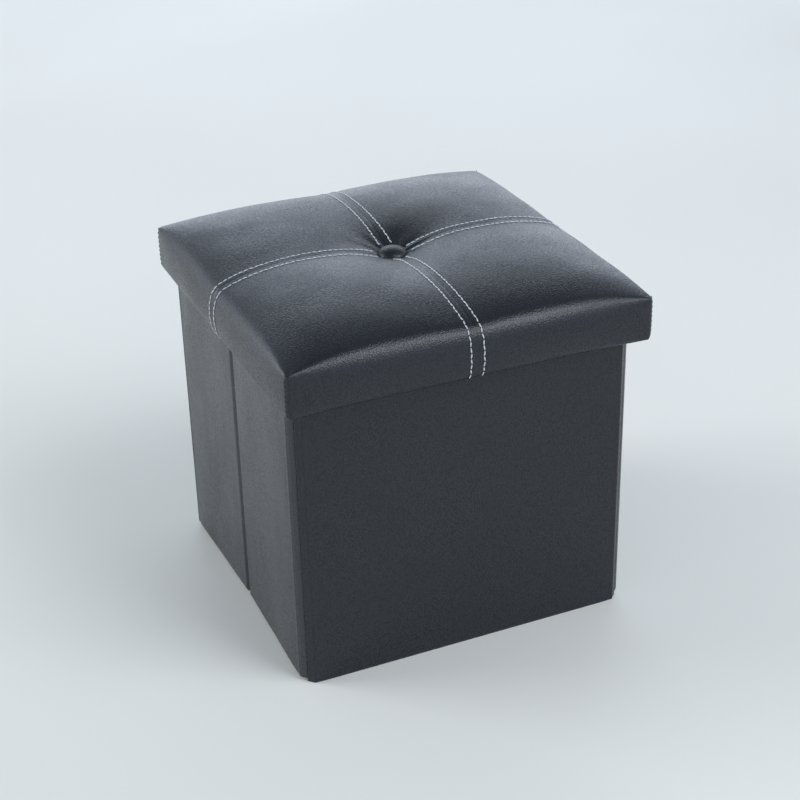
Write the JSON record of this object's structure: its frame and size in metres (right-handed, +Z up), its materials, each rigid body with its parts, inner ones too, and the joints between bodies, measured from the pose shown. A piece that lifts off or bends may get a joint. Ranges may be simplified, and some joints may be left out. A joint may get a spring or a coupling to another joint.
{
  "type": "folding storage ottoman",
  "caption": "Cube-shaped folding storage ottoman with lined, imitation-leather walls, creased sides and a padded, tufted lift-off lid with a skirt.",
  "frame": {"origin": "centre of the footprint on the floor, under the middle of the base board", "axes": "+Z up; -Y out of the unbroken front panel; the creased sides face -X and +X"},
  "size_m": [0.304, 0.312, 0.303],
  "materials": {
    "leather": "pebbled imitation leather with a low sheen",
    "fibreboard": "bare fibreboard",
    "lining": "dimpled non-woven cloth",
    "tape": "ribbed woven tape",
    "foam": "open-cell foam",
    "card": "grey board",
    "cord": "waxed cord",
    "plastic": "moulded"
  },
  "bodies": {
    "front_panel": {"front_board": "fibreboard", "front_leather": "leather", "front_lining": "lining", "front_binding": "tape", "corner_front_left": "leather", "corner_front_right": "leather", "wall_hinge_tape": "tape"},
    "base": {"base_board": "fibreboard", "base_lining": "lining", "base_hinge_tape": "tape", "pull_tab": "tape"},
    "back_panel": {"back_board": "fibreboard", "back_leather": "leather", "back_lining": "lining", "back_binding": "tape", "corner_rear_left": "leather", "corner_rear_right": "leather"},
    "lid": {"lid_board": "fibreboard", "lid_lining": "lining", "lid_foam": "foam", "lid_cover": "leather", "skirt_card_front": "card", "skirt_card_back": "card", "skirt_card_left": "card", "skirt_card_right": "card", "skirt_pad_front": "foam", "skirt_pad_back": "foam", "skirt_pad_left": "foam", "skirt_pad_right": "foam", "skirt_lining": "lining", "button_shell": "leather", "button_core": "plastic", "tuft_cord": "cord", "tuft_washer": "plastic"},
    "left_front_half": {"left_front_board": "fibreboard", "left_front_leather": "leather", "left_front_lining": "lining", "left_front_binding": "tape"},
    "left_rear_half": {"left_rear_board": "fibreboard", "left_rear_leather": "leather", "left_rear_lining": "lining", "left_rear_binding": "tape"},
    "right_front_half": {"right_front_board": "fibreboard", "right_front_leather": "leather", "right_front_lining": "lining", "right_front_binding": "tape"},
    "right_rear_half": {"right_rear_board": "fibreboard", "right_rear_leather": "leather", "right_rear_lining": "lining", "right_rear_binding": "tape"}
  },
  "joints": [
    {"name": "lid_lift", "type": "slide", "parent": "front_panel", "child": "lid", "axis": [0, 0, 1], "range_m": [0, 0.25]},
    {"name": "base_flip", "type": "hinge", "parent": "front_panel", "child": "base", "pos_m": [0, -0.1341, 0.0024], "axis": [-1, 0, 0], "range_deg": [-90, 0]},
    {"name": "wall_fold", "type": "hinge", "parent": "front_panel", "child": "left_front_half", "pos_m": [-0.1405, -0.13, 0.135], "axis": [0, 0, 1], "range_deg": [-88.6, 0]},
    {"name": "left_crease", "type": "hinge", "parent": "left_front_half", "child": "left_rear_half", "pos_m": [-0.1422, 0, 0.135], "axis": [0, 0, 1], "range_deg": [0, 177.2]},
    {"name": "rear_left_corner", "type": "hinge", "parent": "left_rear_half", "child": "back_panel", "pos_m": [-0.1405, 0.13, 0.135], "axis": [0, 0, 1], "range_deg": [-88.6, 0]},
    {"name": "rear_right_corner", "type": "hinge", "parent": "back_panel", "child": "right_rear_half", "pos_m": [0.1405, 0.13, 0.135], "axis": [0, 0, 1], "range_deg": [-88.6, 0]},
    {"name": "front_right_corner", "type": "hinge", "parent": "front_panel", "child": "right_front_half", "pos_m": [0.1405, -0.13, 0.135], "axis": [0, 0, 1], "range_deg": [0, 88.6]}
  ],
  "couplings": [
    {"joint": "left_crease", "follows": "wall_fold", "ratio": -2},
    {"joint": "rear_left_corner", "follows": "wall_fold", "ratio": 1},
    {"joint": "rear_right_corner", "follows": "wall_fold", "ratio": 1},
    {"joint": "front_right_corner", "follows": "wall_fold", "ratio": -1}
  ]
}
